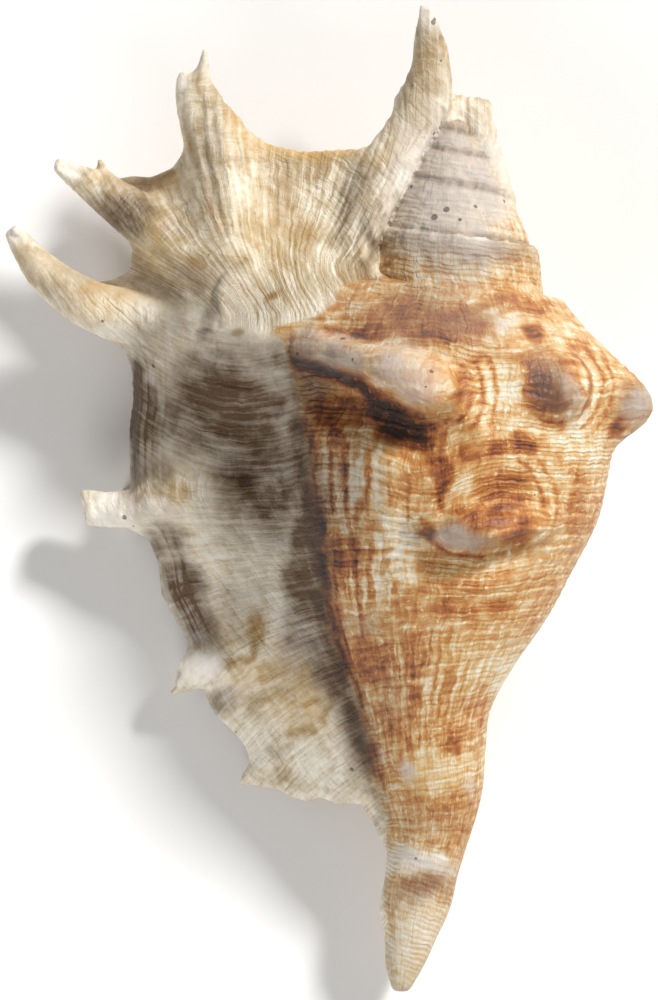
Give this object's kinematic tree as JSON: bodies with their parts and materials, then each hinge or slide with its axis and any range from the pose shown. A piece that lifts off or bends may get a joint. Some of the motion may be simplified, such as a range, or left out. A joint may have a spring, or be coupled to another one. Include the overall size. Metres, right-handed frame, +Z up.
{
  "type": "spider conch shell",
  "caption": "Spider conch seashell with a knobbed body whorl, a pointed spire, a canal and a flared lip that ends in long curved fingers.",
  "frame": {"origin": "middle of the outline, on the table that the shell lies on with its opening down", "axes": "+Y from the canal to the spire along the shell's length, +X towards the side knob and away from the flared lip, +Z up out of the knobbed back"},
  "size_m": [0.1294, 0.1986, 0.0681],
  "materials": {
    "shell": "satin"
  },
  "bodies": {
    "root": {"shell": "shell"}
  },
  "joints": []
}
